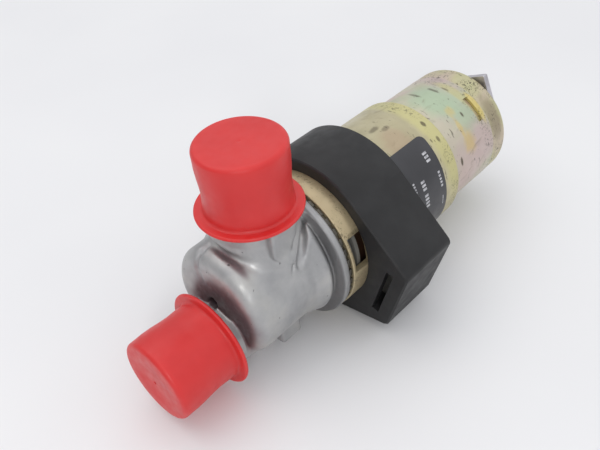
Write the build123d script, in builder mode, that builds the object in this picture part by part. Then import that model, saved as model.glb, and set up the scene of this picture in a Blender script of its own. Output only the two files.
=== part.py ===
from build123d import *
from math import acos, atan2, cos, radians, sin
import os

# Angle-pattern solenoid valve: a die-cast body with two hose ports, a steel-cased magnet
# and a plastic terminal collar. Millimetres. The solenoid axis runs along +X, away from
# the front port, and the side port points along +Z. The origin is the centre of the cast
# foot pad's face, straight below the point where the solenoid and side-port axes cross.

os.makedirs("parts", exist_ok=True)

# ---------------------------------------------------------------- driving dimensions
# Fits
part_clearance = 0.05        # between parts that are assembled and stay put
running_clearance = 0.05     # radial, plunger in guide tube and rod in bush
cap_clearance = 0.35         # radial, cap over the port's bead
tip_gap = 0.3                # cap end to port tip, and cap mouth to shoulder

# Frame
axis_height = 23.5           # solenoid axis above the foot pad's face
front_port_drop = 10.8       # front port axis below the solenoid axis

# Ports and their caps
stub_radius = 11.4
stub_wall = 3.6
bead_rise = 1.2
bead_length = 3.2
bead_setback = 2.2           # bead to the port's tip
side_mouth_height = 28.6     # mouth of the side cap above the solenoid axis
cap_height = 23.7
cap_end_wall = 1.4
cap_wall = 1.2
cap_flange_width = 3.15      # beyond the cap's neck
cap_flange_thickness = 1.2
cap_swell = 0.3              # of the widest place over the neck
cap_swell_setback = 5.925    # widest place to the closed end
cap_straight_setback = 11.85 # end of the straight neck to the closed end
cap_end_taper = 1.0          # closed end's radius under the widest place's

# Cast body
block_front_x = -20.0
block_radius = 20.0
block_corner = 5.5
hub_start_x = 2.0
hub_shoulder_x = 9.6
hub_shoulder_radius = 22.4
cove_x = 11.4
cove_radius = 21.7
flange_overhang = 0.3        # flange beyond the can
flange_thickness = 3.0
flange_face_x = 16.3
side_neck_wall = 2.2         # neck beyond the hose stub
side_boss_step = 1.8         # boss beyond the neck
side_boss_height = 17.0
side_neck_start = 22.0
rib_centre_x = -0.9
rib_half_width = 4.8
rib_reach = 15.6
rib_bottom = 16.6
foot_half_length = 4.6
foot_half_width = 12.0
foot_corner = 1.4
front_boss_length = 10.6
front_neck_length = 3.9
front_neck_flat = 10.0       # wrench flats of the front neck, from its axis
chamber_radius = 15.5
chamber_floor_x = -8.0
pocket_back_x = -10.5
pocket_front_x = -14.0
face_hole_radius = 2.0
face_hole_depth = 3.2
face_hole_y = 1.0
face_hole_rise = 1.3

# Seat and disc
seat_inner_radius = 7.0
seat_width = 2.5
seat_recess_depth = 2.0
seat_top_x = -5.5
seat_land = 1.0
valve_gap = 0.05             # disc to seat when shut
disc_thickness = 3.5
holder_wall = 1.5
holder_lip = 2.4
holder_back = 2.8
holder_hub_radius = 5.0
holder_hub_length = 6.5
retainer_radius = 4.4
retainer_thickness = 1.2

# Flange joint
o_ring_radius = 19.0
o_ring_wire_radius = 0.98
o_ring_groove_width = 2.6
o_ring_groove_depth = 2.0
bonnet_thickness = 2.0
lock_ring_width = 2.1
lock_ring_gap = 0.1
lock_ring_thickness = 1.2
lock_ring_notches = 40
lock_ring_notch_width = 1.5
lock_ring_notch_depth = 0.7

# Can
can_radius = 25.1
can_wall = 2.0
can_length = 61.5
can_gap = 0.25               # lock ring to can
can_band_step = 0.5
can_band_length = 9.2
shoulder_round = 0.9
window_setback = 1.4
window_length = 7.4
window_width = 12.5
window_azimuth = 164.0
front_plate_gap = 0.2
front_plate_thickness = 3.0
washer_edge_gap = 1.9
washer_inner_radius = 14.0
washer_thickness = 0.5
washer_dish = 0.9

# Coil
bobbin_edge_gap = 0.7
bobbin_end_gap = 0.35
bobbin_flange_thickness = 1.5
bobbin_tube_wall = 1.5
winding_setback = 1.4        # winding below the bobbin's flange
yoke_plate_setback = 9.3     # yoke plate to the can's shoulder
yoke_plate_thickness = 3.0

# Guide tube, core and plunger
guide_bore_radius = 8.1
guide_wall = 0.8
guide_overhang = 1.8         # guide tube into the chamber
guide_flange_width = 2.1
guide_flange_thickness = 0.75
plunger_overhang = 1.5       # plunger beyond the guide tube
plunger_length = 28.0
plunger_chamfer = 0.6
valve_lift = 3.5
core_residual_gap = 0.5
core_head_radius = 12.0
core_head_thickness = 3.0
rod_radius = 2.0
rod_overhang = 6.0           # rod beyond the front of the spring seat
bush_wall = 1.0
bush_length = 8.0
rod_seal_setback = 12.0      # rod seal to the yoke plate
rod_seal_wire_radius = 0.8

# Rear can, spring and end
rear_can_wall = 1.2
rear_can_reach = 26.7        # beyond the can's shoulder
stake_slot_setback = 3.8
stake_slot_length = 2.4
stake_slot_width = 10.6
stake_slot_azimuth = 131.0
stake_slot_count = 3
end_skirt_length = 8.0
end_cap_step = 0.15
end_cap_length = 10.3
end_cap_wall = 1.3
end_cap_round = 3.2
spring_space = 16.0          # spring seat's front to the rear can's end
spring_seat_radius = 9.0
spring_seat_thickness = 1.5
rod_clip_radius = 4.0
rod_clip_thickness = 1.0
spring_radius = 6.4
spring_wire_radius = 0.6
spring_turns = 6
adjuster_setback = 1.0
adjuster_radius = 8.8
adjuster_thickness = 2.5
stud_radius = 4.0
stud_reach = 8.2
bracket_thickness = 2.5
bracket_length = 28.0
bracket_width = 26.0
bracket_corner = 0.6
bracket_angle = -22.2
bracket_edge_to_stud_side = 17.9
bracket_edge_to_stud_end = 17.6
nut_across_flats = 13.0
nut_thickness = 4.0

# Collar and terminals
collar_setback = 7.0         # behind the can's front edge
collar_length = 24.8
collar_wall = 4.9
collar_azimuth = 197.2
collar_edge = 0.6
tail_reach = 9.25            # tail's end beyond the collar's round part
tail_half_width = 14.2
tail_corner = 2.6
collar_front_wall = 3.0
cavity_floor = 1.5           # wall between the can and the terminal cavity
cavity_end_wall = 2.5
cavity_half_width = 11.4
cover_thickness = 2.5
slot_setback = 6.4
slot_length = 21.5
slot_width = 2.8
blade_width = 6.3
blade_thickness = 0.8
blade_offset = 5.4
blade_setback = 5.0          # blade tips behind the collar's front face
blade_length = 12.2
carrier_setback = 8.2
lead_setback = 14.7
lead_offset = 4.0
lead_radius = 0.8
lead_opening_length = 6.0
lead_opening_width = 12.0

# Label
label_gap = 0.3              # collar to label
label_length = 20.7
label_start_azimuth = 120.5
label_sweep = 122.0
label_thickness = 0.25
label_corner = 2.6

# ---------------------------------------------------------------- sizes that follow
# Ports and caps
port_bore_radius = stub_radius - stub_wall
bead_radius = stub_radius + bead_rise
cap_mouth_radius = bead_radius + cap_clearance
cap_neck_radius = cap_mouth_radius + cap_wall
cap_flange_radius = cap_neck_radius + cap_flange_width
cap_swell_radius = cap_neck_radius + cap_swell
cap_end_radius = cap_swell_radius - cap_end_taper
side_neck_radius = stub_radius + side_neck_wall
side_boss_radius = side_neck_radius + side_boss_step
port_boss_radius = stub_radius + bead_rise
neck_end_x = block_front_x - front_neck_length
front_mouth_x = neck_end_x - tip_gap

# Can and what it holds
can_band_radius = can_radius + can_band_step
can_bore_radius = can_radius - can_wall
flange_radius = can_radius + flange_overhang
lock_ring_inner_radius = can_radius - lock_ring_width
bonnet_radius = lock_ring_inner_radius - lock_ring_gap
front_plate_radius = can_bore_radius - front_plate_gap
washer_outer_radius = can_bore_radius - washer_edge_gap
bobbin_flange_radius = can_bore_radius - bobbin_edge_gap
winding_radius = bobbin_flange_radius - winding_setback
rear_can_radius = can_bore_radius - part_clearance
end_cap_radius = rear_can_radius - end_cap_step
guide_radius = guide_bore_radius + guide_wall
guide_flange_radius = guide_radius + guide_flange_width
disc_radius = seat_inner_radius + seat_width
seat_outer_radius = seat_inner_radius + seat_width
holder_radius = disc_radius + holder_wall

# Places along the solenoid axis
bonnet_front_x = flange_face_x + part_clearance
can_front_x = bonnet_front_x + lock_ring_thickness + can_gap
can_band_end_x = can_front_x + can_band_length
shoulder_x = can_front_x + can_length
window_start_x = can_front_x + window_setback
window_end_x = window_start_x + window_length
yoke_plate_front_x = shoulder_x - yoke_plate_setback
guide_front_x = flange_face_x - guide_overhang
plunger_front_x = guide_front_x - plunger_overhang
plunger_rear_x = plunger_front_x + plunger_length
rod_seal_x = yoke_plate_front_x - rod_seal_setback
rear_can_end_x = shoulder_x + rear_can_reach
stake_slot_x = rear_can_end_x - stake_slot_setback
end_cap_front_x = rear_can_end_x - end_skirt_length
end_cap_face_x = rear_can_end_x + end_cap_length
spring_seat_x = rear_can_end_x - spring_space
rod_rear_x = spring_seat_x + rod_overhang
adjuster_x = rear_can_end_x - adjuster_setback
stud_end_x = end_cap_face_x + stud_reach

# Collar
collar_radius = can_radius + collar_wall
collar_front_x = can_front_x + collar_setback
collar_rear_x = collar_front_x + collar_length
tail_end = collar_radius + tail_reach
cavity_start = can_radius + cavity_floor
blade_front_x = collar_front_x + blade_setback
blade_rear_x = blade_front_x + blade_length
carrier_front_x = collar_front_x + carrier_setback
lead_x = collar_front_x + lead_setback
label_front_x = collar_rear_x + label_gap
label_rear_x = label_front_x + label_length

# ---------------------------------------------------------------- planes and helpers
axial_plane = Plane(origin=(0, 0, axis_height), x_dir=(1, 0, 0), z_dir=(0, -1, 0))
solenoid_axis = Axis((0, 0, axis_height), (1, 0, 0))
front_port_height = axis_height - front_port_drop


def section_plane(x, height=axis_height, azimuth=0.0):
    """Plane across the solenoid axis at x; its own x axis points along the azimuth from +Y."""
    direction = (0, cos(radians(azimuth)), sin(radians(azimuth)))
    return Plane(origin=(x, 0, height), x_dir=direction, z_dir=(1, 0, 0))


def radial_plane(azimuth):
    """Plane through the solenoid axis whose second axis is the radius at an azimuth."""
    angle = radians(azimuth)
    return Plane(origin=(0, 0, axis_height), x_dir=(1, 0, 0), z_dir=(0, -sin(angle), cos(angle)))


def window_plane(x, azimuth):
    """Plane through the axis point at x that faces outwards along an azimuth."""
    angle = radians(azimuth)
    return Plane(origin=(x, 0, axis_height), x_dir=(1, 0, 0), z_dir=(0, cos(angle), sin(angle)))


def stub_profile(mouth_height, tip):
    """Outside of a beaded hose stub, from its axis, between a shoulder and its tip."""
    bead_end = tip - bead_setback
    bead_start = bead_end - bead_length
    bead_middle = (bead_start + bead_end) / 2
    Line((0, mouth_height), (stub_radius, mouth_height))
    Line((stub_radius, mouth_height), (stub_radius, bead_start))
    ThreePointArc((stub_radius, bead_start), (bead_radius, bead_middle), (stub_radius, bead_end))
    Line((stub_radius, bead_end), (stub_radius, tip))
    Line((stub_radius, tip), (0, tip))
    Line((0, tip), (0, mouth_height))


stub_tip = cap_height - cap_end_wall - tip_gap
side_mouth_z = axis_height + side_mouth_height
side_tip_z = side_mouth_z + stub_tip
front_tip_x = front_mouth_x - stub_tip

# ---------------------------------------------------------------- cast body
flange_back_x = flange_face_x - flange_thickness
seat_back_x = chamber_floor_x - seat_recess_depth
with BuildPart() as valve_body:
    # End block, hub, cove and flange, turned about the solenoid axis
    with BuildSketch(axial_plane):
        with BuildLine():
            corner_start = (block_front_x, block_radius - block_corner)
            corner_end = (block_front_x + block_corner, block_radius)
            Line((block_front_x, 0), corner_start)
            RadiusArc(corner_start, corner_end, block_corner)
            Line(corner_end, (hub_start_x, block_radius))
            Line((hub_start_x, block_radius), (hub_shoulder_x, hub_shoulder_radius))
            Line((hub_shoulder_x, hub_shoulder_radius), (cove_x, cove_radius))
            Line((cove_x, cove_radius), (flange_back_x, flange_radius))
            Line((flange_back_x, flange_radius), (flange_face_x, flange_radius))
            Line((flange_face_x, flange_radius), (flange_face_x, 0))
            Line((flange_face_x, 0), (block_front_x, 0))
        make_face()
    revolve(axis=solenoid_axis)
    # Side-port boss, neck and beaded stub
    with BuildSketch(Plane.XY.offset(axis_height)):
        Circle(side_boss_radius)
    extrude(amount=side_boss_height)
    with BuildSketch(Plane.XY.offset(axis_height + side_boss_height)):
        Circle(side_boss_radius)
    with BuildSketch(Plane.XY.offset(axis_height + side_neck_start)):
        Circle(side_neck_radius)
    loft()
    with BuildSketch(Plane.XY.offset(axis_height + side_neck_start)):
        Circle(side_neck_radius)
    extrude(amount=side_mouth_height - side_neck_start - tip_gap)
    with BuildSketch(Plane.XZ):
        with BuildLine():
            stub_profile(axis_height, side_tip_z)
        make_face()
    revolve(axis=Axis.Z)
    # Ribs on both flanks of the side-port neck, each with a round foot
    with BuildSketch(axial_plane):
        rib_top = side_mouth_height - tip_gap
        rib_round_centre = rib_bottom + rib_half_width
        with Locations((rib_centre_x, rib_round_centre)):
            Circle(rib_half_width)
        with Locations((rib_centre_x, (rib_round_centre + rib_top) / 2)):
            Rectangle(2 * rib_half_width, rib_top - rib_round_centre)
    extrude(amount=rib_reach, both=True)
    # Foot pad
    with BuildSketch(Plane.XY):
        RectangleRounded(2 * foot_half_length, 2 * foot_half_width, foot_corner)
    extrude(amount=axis_height / 2)
    # Front-port boss, round neck with two flats, and beaded stub
    with BuildSketch(section_plane(block_front_x, front_port_height)):
        Circle(port_boss_radius)
    extrude(amount=front_boss_length)
    with BuildSketch(section_plane(neck_end_x, front_port_height)):
        Circle(port_boss_radius)
        Rectangle(2 * port_boss_radius, 2 * front_neck_flat, mode=Mode.INTERSECT)
    extrude(amount=block_front_x - neck_end_x)
    front_profile_plane = Plane(origin=(0, 0, front_port_height), x_dir=(0, 1, 0), z_dir=(0, 0, 1))
    with BuildSketch(front_profile_plane):
        with BuildLine():
            stub_profile(-block_front_x, -front_tip_x)
        make_face()
    revolve(axis=Axis((0, 0, front_port_height), (1, 0, 0)))
    # Valve chamber, seat recess, seat passage and the pocket down to the front port
    with BuildSketch(section_plane(chamber_floor_x)):
        Circle(chamber_radius)
    extrude(amount=flange_face_x - chamber_floor_x, mode=Mode.SUBTRACT)
    with BuildSketch(section_plane(seat_back_x)):
        Circle(seat_outer_radius + part_clearance)
    extrude(amount=seat_recess_depth, mode=Mode.SUBTRACT)
    with BuildSketch(section_plane(pocket_front_x)):
        Circle(seat_inner_radius)
    extrude(amount=seat_back_x - pocket_front_x, mode=Mode.SUBTRACT)
    with BuildSketch(section_plane(pocket_front_x)):
        with Locations((0, -front_port_drop / 2)):
            SlotCenterToCenter(front_port_drop, 2 * port_bore_radius, rotation=90)
    extrude(amount=pocket_back_x - pocket_front_x, mode=Mode.SUBTRACT)
    # Port bores
    with BuildSketch(section_plane(front_tip_x, front_port_height)):
        Circle(port_bore_radius)
    extrude(amount=pocket_front_x - front_tip_x, mode=Mode.SUBTRACT)
    with BuildSketch(Plane.XY.offset(axis_height)):
        Circle(port_bore_radius)
    extrude(amount=side_tip_z - axis_height, mode=Mode.SUBTRACT)
    # O-ring groove in the flange face
    with BuildSketch(section_plane(flange_face_x - o_ring_groove_depth)):
        Circle(o_ring_radius + o_ring_groove_width / 2)
        Circle(o_ring_radius - o_ring_groove_width / 2, mode=Mode.SUBTRACT)
    extrude(amount=o_ring_groove_depth, mode=Mode.SUBTRACT)
    # Blind hole in the end block's face, above the front neck
    with BuildSketch(section_plane(block_front_x)):
        with Locations((face_hole_y, face_hole_rise)):
            Circle(face_hole_radius)
    extrude(amount=face_hole_depth, mode=Mode.SUBTRACT)
valve_body.part.label = "valve_body"
export_step(valve_body.part, "parts/valve_body.step")

# ---------------------------------------------------------------- seat and flange joint
with BuildPart() as seat_ring:
    with BuildSketch(section_plane(seat_back_x)):
        Circle(seat_outer_radius)
        Circle(seat_inner_radius, mode=Mode.SUBTRACT)
    extrude(amount=seat_top_x - seat_back_x)
    chamfer(seat_ring.faces().sort_by(Axis.X)[-1].outer_wire().edges(), seat_land)
seat_ring.part.label = "seat_ring"
export_step(seat_ring.part, "parts/seat_ring.step")

o_ring_x = flange_face_x - o_ring_groove_depth / 2
with BuildPart() as flange_o_ring:
    with BuildSketch(axial_plane):
        with Locations((o_ring_x, o_ring_radius)):
            Circle(o_ring_wire_radius)
    revolve(axis=solenoid_axis)
flange_o_ring.part.label = "flange_o_ring"
export_step(flange_o_ring.part, "parts/flange_o_ring.step")

bonnet_rear_x = bonnet_front_x + bonnet_thickness
guide_flange_seat_x = bonnet_rear_x - guide_flange_thickness - part_clearance
with BuildPart() as bonnet_plate:
    with BuildSketch(section_plane(bonnet_front_x)):
        Circle(bonnet_radius)
        Circle(guide_radius + part_clearance, mode=Mode.SUBTRACT)
    extrude(amount=bonnet_thickness)
    with BuildSketch(section_plane(guide_flange_seat_x)):
        Circle(guide_flange_radius + part_clearance)
    extrude(amount=bonnet_rear_x - guide_flange_seat_x, mode=Mode.SUBTRACT)
bonnet_plate.part.label = "bonnet_plate"
export_step(bonnet_plate.part, "parts/bonnet_plate.step")

with BuildPart() as lock_ring:
    with BuildSketch(section_plane(bonnet_front_x)):
        Circle(can_radius)
        Circle(lock_ring_inner_radius, mode=Mode.SUBTRACT)
        with PolarLocations(can_radius, lock_ring_notches):
            Rectangle(2 * lock_ring_notch_depth, lock_ring_notch_width, mode=Mode.SUBTRACT)
    extrude(amount=lock_ring_thickness)
lock_ring.part.label = "lock_ring"
export_step(lock_ring.part, "parts/lock_ring.step")

# ---------------------------------------------------------------- steel can and its inside
with BuildPart() as can_shell:
    with BuildSketch(axial_plane):
        with BuildLine():
            round_start = (shoulder_x - shoulder_round, can_radius)
            round_end = (shoulder_x, can_radius - shoulder_round)
            Line((can_front_x, can_bore_radius), (can_front_x, can_band_radius))
            Line((can_front_x, can_band_radius), (can_band_end_x, can_band_radius))
            Line((can_band_end_x, can_band_radius), (can_band_end_x, can_radius))
            Line((can_band_end_x, can_radius), round_start)
            RadiusArc(round_start, round_end, shoulder_round)
            Line(round_end, (shoulder_x, can_bore_radius))
            Line((shoulder_x, can_bore_radius), (can_front_x, can_bore_radius))
        make_face()
    revolve(axis=solenoid_axis)
    # Inspection window next to the flange
    window_middle_x = (window_start_x + window_end_x) / 2
    with BuildSketch(window_plane(window_middle_x, window_azimuth)):
        Rectangle(window_end_x - window_start_x, window_width)
    extrude(amount=2 * can_radius, mode=Mode.SUBTRACT)
    # Opening for the coil leads, under the collar's tail
    with BuildSketch(window_plane(lead_x, collar_azimuth)):
        Rectangle(lead_opening_length, lead_opening_width)
    extrude(amount=2 * can_radius, mode=Mode.SUBTRACT)
can_shell.part.label = "can_shell"
export_step(can_shell.part, "parts/can_shell.step")

front_plate_x = bonnet_rear_x + part_clearance
with BuildPart() as front_pole_plate:
    with BuildSketch(section_plane(front_plate_x)):
        Circle(front_plate_radius)
        Circle(guide_radius + part_clearance, mode=Mode.SUBTRACT)
    extrude(amount=front_plate_thickness)
front_pole_plate.part.label = "front_pole_plate"
export_step(front_pole_plate.part, "parts/front_pole_plate.step")

washer_x = front_plate_x + front_plate_thickness + part_clearance
with BuildPart() as dished_washer:
    with BuildSketch(axial_plane):
        with BuildLine():
            Polyline(
                (washer_x, washer_outer_radius),
                (washer_x + washer_thickness, washer_outer_radius),
                (washer_x + washer_thickness + washer_dish, washer_inner_radius),
                (washer_x + washer_dish, washer_inner_radius),
                close=True,
            )
        make_face()
    revolve(axis=solenoid_axis)
dished_washer.part.label = "dished_washer"
export_step(dished_washer.part, "parts/dished_washer.step")

bobbin_front_x = washer_x + washer_thickness + washer_dish + bobbin_end_gap
bobbin_bore_radius = guide_radius + part_clearance
bobbin_tube_radius = bobbin_bore_radius + bobbin_tube_wall
bobbin_rear_x = yoke_plate_front_x - part_clearance
winding_front_x = bobbin_front_x + bobbin_flange_thickness
winding_rear_x = bobbin_rear_x - bobbin_flange_thickness
with BuildPart() as coil_bobbin:
    with BuildSketch(section_plane(bobbin_front_x)):
        Circle(bobbin_tube_radius)
        Circle(bobbin_bore_radius, mode=Mode.SUBTRACT)
    extrude(amount=bobbin_rear_x - bobbin_front_x)
    for flange_x in (bobbin_front_x, winding_rear_x):
        with BuildSketch(section_plane(flange_x)):
            Circle(bobbin_flange_radius)
            Circle(bobbin_bore_radius, mode=Mode.SUBTRACT)
        extrude(amount=bobbin_flange_thickness)
coil_bobbin.part.label = "coil_bobbin"
export_step(coil_bobbin.part, "parts/coil_bobbin.step")

with BuildPart() as coil_winding:
    with BuildSketch(section_plane(winding_front_x + part_clearance)):
        Circle(winding_radius)
        Circle(bobbin_tube_radius + part_clearance, mode=Mode.SUBTRACT)
    extrude(amount=winding_rear_x - winding_front_x - 2 * part_clearance)
coil_winding.part.label = "coil_winding"
export_step(coil_winding.part, "parts/coil_winding.step")

yoke_plate_rear_x = yoke_plate_front_x + yoke_plate_thickness
with BuildPart() as rear_yoke_plate:
    with BuildSketch(section_plane(yoke_plate_front_x)):
        Circle(can_bore_radius - part_clearance)
        Circle(guide_radius + part_clearance, mode=Mode.SUBTRACT)
    extrude(amount=yoke_plate_thickness)
rear_yoke_plate.part.label = "rear_yoke_plate"
export_step(rear_yoke_plate.part, "parts/rear_yoke_plate.step")

# ---------------------------------------------------------------- guide tube and core
guide_rear_x = yoke_plate_rear_x - part_clearance
with BuildPart() as guide_tube:
    with BuildSketch(section_plane(guide_front_x)):
        Circle(guide_radius)
        Circle(guide_bore_radius, mode=Mode.SUBTRACT)
    extrude(amount=guide_rear_x - guide_front_x)
    with BuildSketch(section_plane(guide_flange_seat_x + part_clearance)):
        Circle(guide_flange_radius)
        Circle(guide_bore_radius, mode=Mode.SUBTRACT)
    extrude(amount=guide_flange_thickness - part_clearance)
guide_tube.part.label = "guide_tube"
export_step(guide_tube.part, "parts/guide_tube.step")

core_front_x = plunger_rear_x + valve_lift + core_residual_gap
core_bore_radius = rod_radius + bush_wall / 2
bush_radius = rod_radius + running_clearance + bush_wall
with BuildPart() as pole_core:
    with BuildSketch(section_plane(core_front_x)):
        Circle(guide_bore_radius - part_clearance)
    extrude(amount=yoke_plate_rear_x - core_front_x)
    with BuildSketch(section_plane(yoke_plate_rear_x)):
        Circle(core_head_radius)
    extrude(amount=core_head_thickness)
    with BuildSketch(section_plane(core_front_x)):
        Circle(core_bore_radius)
    extrude(amount=yoke_plate_rear_x + core_head_thickness - core_front_x, mode=Mode.SUBTRACT)
    # Seat of the rod bush, and groove of the rod seal
    with BuildSketch(section_plane(core_front_x)):
        Circle(bush_radius + part_clearance)
    extrude(amount=bush_length, mode=Mode.SUBTRACT)
    seal_half_length = rod_seal_wire_radius + part_clearance
    with BuildSketch(section_plane(rod_seal_x - seal_half_length)):
        Circle(rod_radius + 2 * rod_seal_wire_radius + 3 * part_clearance)
    extrude(amount=2 * seal_half_length, mode=Mode.SUBTRACT)
pole_core.part.label = "pole_core"
export_step(pole_core.part, "parts/pole_core.step")

with BuildPart() as rod_bush:
    with BuildSketch(section_plane(core_front_x)):
        Circle(bush_radius)
        Circle(rod_radius + running_clearance, mode=Mode.SUBTRACT)
    extrude(amount=bush_length - part_clearance)
rod_bush.part.label = "rod_bush"
export_step(rod_bush.part, "parts/rod_bush.step")

with BuildPart() as rod_seal:
    with BuildSketch(axial_plane):
        with Locations((rod_seal_x, rod_radius + running_clearance + rod_seal_wire_radius)):
            Circle(rod_seal_wire_radius)
    revolve(axis=solenoid_axis)
rod_seal.part.label = "rod_seal"
export_step(rod_seal.part, "parts/rod_seal.step")

# ---------------------------------------------------------------- moving group
disc_front_x = seat_top_x + valve_gap
disc_rear_x = disc_front_x + disc_thickness
holder_front_x = disc_rear_x - holder_lip
holder_rear_x = disc_rear_x + holder_back
hub_rear_x = holder_rear_x + holder_hub_length
with BuildPart() as disc_seal:
    with BuildSketch(section_plane(disc_front_x)):
        Circle(disc_radius)
    extrude(amount=disc_thickness)
disc_seal.part.label = "disc_seal"
export_step(disc_seal.part, "parts/disc_seal.step")

with BuildPart() as disc_holder:
    with BuildSketch(section_plane(holder_front_x)):
        Circle(holder_radius)
    extrude(amount=holder_rear_x - holder_front_x)
    with BuildSketch(section_plane(holder_rear_x)):
        Circle(holder_hub_radius)
    extrude(amount=holder_hub_length)
    with BuildSketch(section_plane(holder_front_x)):
        Circle(disc_radius + part_clearance)
    extrude(amount=holder_lip, mode=Mode.SUBTRACT)
    with BuildSketch(section_plane(disc_rear_x)):
        Circle(rod_radius + part_clearance)
    extrude(amount=hub_rear_x - disc_rear_x, mode=Mode.SUBTRACT)
disc_holder.part.label = "disc_holder"
export_step(disc_holder.part, "parts/disc_holder.step")

with BuildPart() as disc_retainer:
    with BuildSketch(section_plane(hub_rear_x + part_clearance)):
        Circle(retainer_radius)
        Circle(rod_radius + part_clearance, mode=Mode.SUBTRACT)
    extrude(amount=retainer_thickness)
disc_retainer.part.label = "disc_retainer"
export_step(disc_retainer.part, "parts/disc_retainer.step")

plunger_radius = guide_bore_radius - running_clearance
with BuildPart() as plunger:
    with BuildSketch(section_plane(plunger_front_x)):
        Circle(plunger_radius)
    extrude(amount=plunger_rear_x - plunger_front_x)
    chamfer(plunger.edges().filter_by(GeomType.CIRCLE), plunger_chamfer)
    with BuildSketch(section_plane(plunger_front_x)):
        Circle(rod_radius + part_clearance)
    extrude(amount=plunger_rear_x - plunger_front_x, mode=Mode.SUBTRACT)
plunger.part.label = "plunger"
export_step(plunger.part, "parts/plunger.step")

with BuildPart() as push_rod:
    with BuildSketch(section_plane(disc_rear_x + part_clearance)):
        Circle(rod_radius)
    extrude(amount=rod_rear_x - disc_rear_x - part_clearance)
push_rod.part.label = "push_rod"
export_step(push_rod.part, "parts/push_rod.step")

with BuildPart() as spring_seat:
    with BuildSketch(section_plane(spring_seat_x)):
        Circle(spring_seat_radius)
        Circle(rod_radius + part_clearance, mode=Mode.SUBTRACT)
    extrude(amount=spring_seat_thickness)
spring_seat.part.label = "spring_seat"
export_step(spring_seat.part, "parts/spring_seat.step")

with BuildPart() as rod_clip:
    with BuildSketch(section_plane(spring_seat_x - rod_clip_thickness - part_clearance)):
        Circle(rod_clip_radius)
        Circle(rod_radius + part_clearance, mode=Mode.SUBTRACT)
    extrude(amount=rod_clip_thickness)
rod_clip.part.label = "rod_clip"
export_step(rod_clip.part, "parts/rod_clip.step")

spring_front_x = spring_seat_x + spring_seat_thickness + spring_wire_radius + part_clearance
spring_rear_x = adjuster_x - spring_wire_radius - part_clearance
spring_length = spring_rear_x - spring_front_x
with BuildPart() as return_spring:
    with BuildLine() as spring_line:
        Helix(
            pitch=spring_length / spring_turns,
            height=spring_length,
            radius=spring_radius,
            center=(spring_front_x, 0, axis_height),
            direction=(1, 0, 0),
        )
    with BuildSketch(Plane(origin=spring_line.line @ 0, z_dir=spring_line.line % 0)):
        Circle(spring_wire_radius)
    sweep(is_frenet=True)
return_spring.part.label = "return_spring"
export_step(return_spring.part, "parts/return_spring.step")

# ---------------------------------------------------------------- rear can and end
rear_can_front_x = yoke_plate_rear_x + part_clearance
rear_can_bore_radius = rear_can_radius - rear_can_wall
with BuildPart() as rear_can:
    with BuildSketch(section_plane(rear_can_front_x)):
        Circle(rear_can_radius)
        Circle(rear_can_bore_radius, mode=Mode.SUBTRACT)
    extrude(amount=rear_can_end_x - rear_can_front_x)
    for slot_index in range(stake_slot_count):
        slot_azimuth = stake_slot_azimuth + slot_index * 360 / stake_slot_count
        with BuildSketch(window_plane(stake_slot_x, slot_azimuth)):
            Rectangle(stake_slot_length, stake_slot_width)
        extrude(amount=2 * rear_can_radius, mode=Mode.SUBTRACT)
rear_can.part.label = "rear_can"
export_step(rear_can.part, "parts/rear_can.step")

end_skirt_radius = rear_can_bore_radius - part_clearance
end_lip_x = rear_can_end_x + part_clearance
end_inner_face_x = end_cap_face_x - end_cap_wall
end_bore_radius = end_skirt_radius - end_cap_wall
stud_hole_radius = stud_radius + part_clearance
with BuildPart() as end_cap:
    with BuildSketch(axial_plane):
        with BuildLine():
            round_start = (end_cap_face_x - end_cap_round, end_cap_radius)
            round_end = (end_cap_face_x, end_cap_radius - end_cap_round)
            Line((end_cap_front_x, end_bore_radius), (end_cap_front_x, end_skirt_radius))
            Line((end_cap_front_x, end_skirt_radius), (end_lip_x, end_skirt_radius))
            Line((end_lip_x, end_skirt_radius), (end_lip_x, end_cap_radius))
            Line((end_lip_x, end_cap_radius), round_start)
            RadiusArc(round_start, round_end, end_cap_round)
            Line(round_end, (end_cap_face_x, stud_hole_radius))
            Line((end_cap_face_x, stud_hole_radius), (end_inner_face_x, stud_hole_radius))
            Line((end_inner_face_x, stud_hole_radius), (end_inner_face_x, end_bore_radius))
            Line((end_inner_face_x, end_bore_radius), (end_cap_front_x, end_bore_radius))
        make_face()
    revolve(axis=solenoid_axis)
end_cap.part.label = "end_cap"
export_step(end_cap.part, "parts/end_cap.step")

with BuildPart() as spring_adjuster:
    with BuildSketch(section_plane(adjuster_x)):
        Circle(adjuster_radius)
    extrude(amount=adjuster_thickness)
    with BuildSketch(section_plane(adjuster_x)):
        Circle(stud_radius)
    extrude(amount=stud_end_x - adjuster_x)
spring_adjuster.part.label = "spring_adjuster"
export_step(spring_adjuster.part, "parts/spring_adjuster.step")

bracket_x = end_cap_face_x + part_clearance
bracket_centre_y = bracket_width / 2 - bracket_edge_to_stud_side
bracket_centre_z = bracket_edge_to_stud_end - bracket_length / 2
with BuildPart() as rear_bracket:
    with BuildSketch(section_plane(bracket_x, azimuth=bracket_angle)):
        with Locations((bracket_centre_y, bracket_centre_z)):
            RectangleRounded(bracket_width, bracket_length, bracket_corner)
        Circle(stud_hole_radius, mode=Mode.SUBTRACT)
    extrude(amount=bracket_thickness)
rear_bracket.part.label = "rear_bracket"
export_step(rear_bracket.part, "parts/rear_bracket.step")

nut_x = bracket_x + bracket_thickness + part_clearance
with BuildPart() as end_nut:
    with BuildSketch(section_plane(nut_x)):
        RegularPolygon(nut_across_flats / 2, 6, major_radius=False)
        Circle(stud_hole_radius, mode=Mode.SUBTRACT)
    extrude(amount=nut_thickness)
end_nut.part.label = "end_nut"
export_step(end_nut.part, "parts/end_nut.step")

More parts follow.
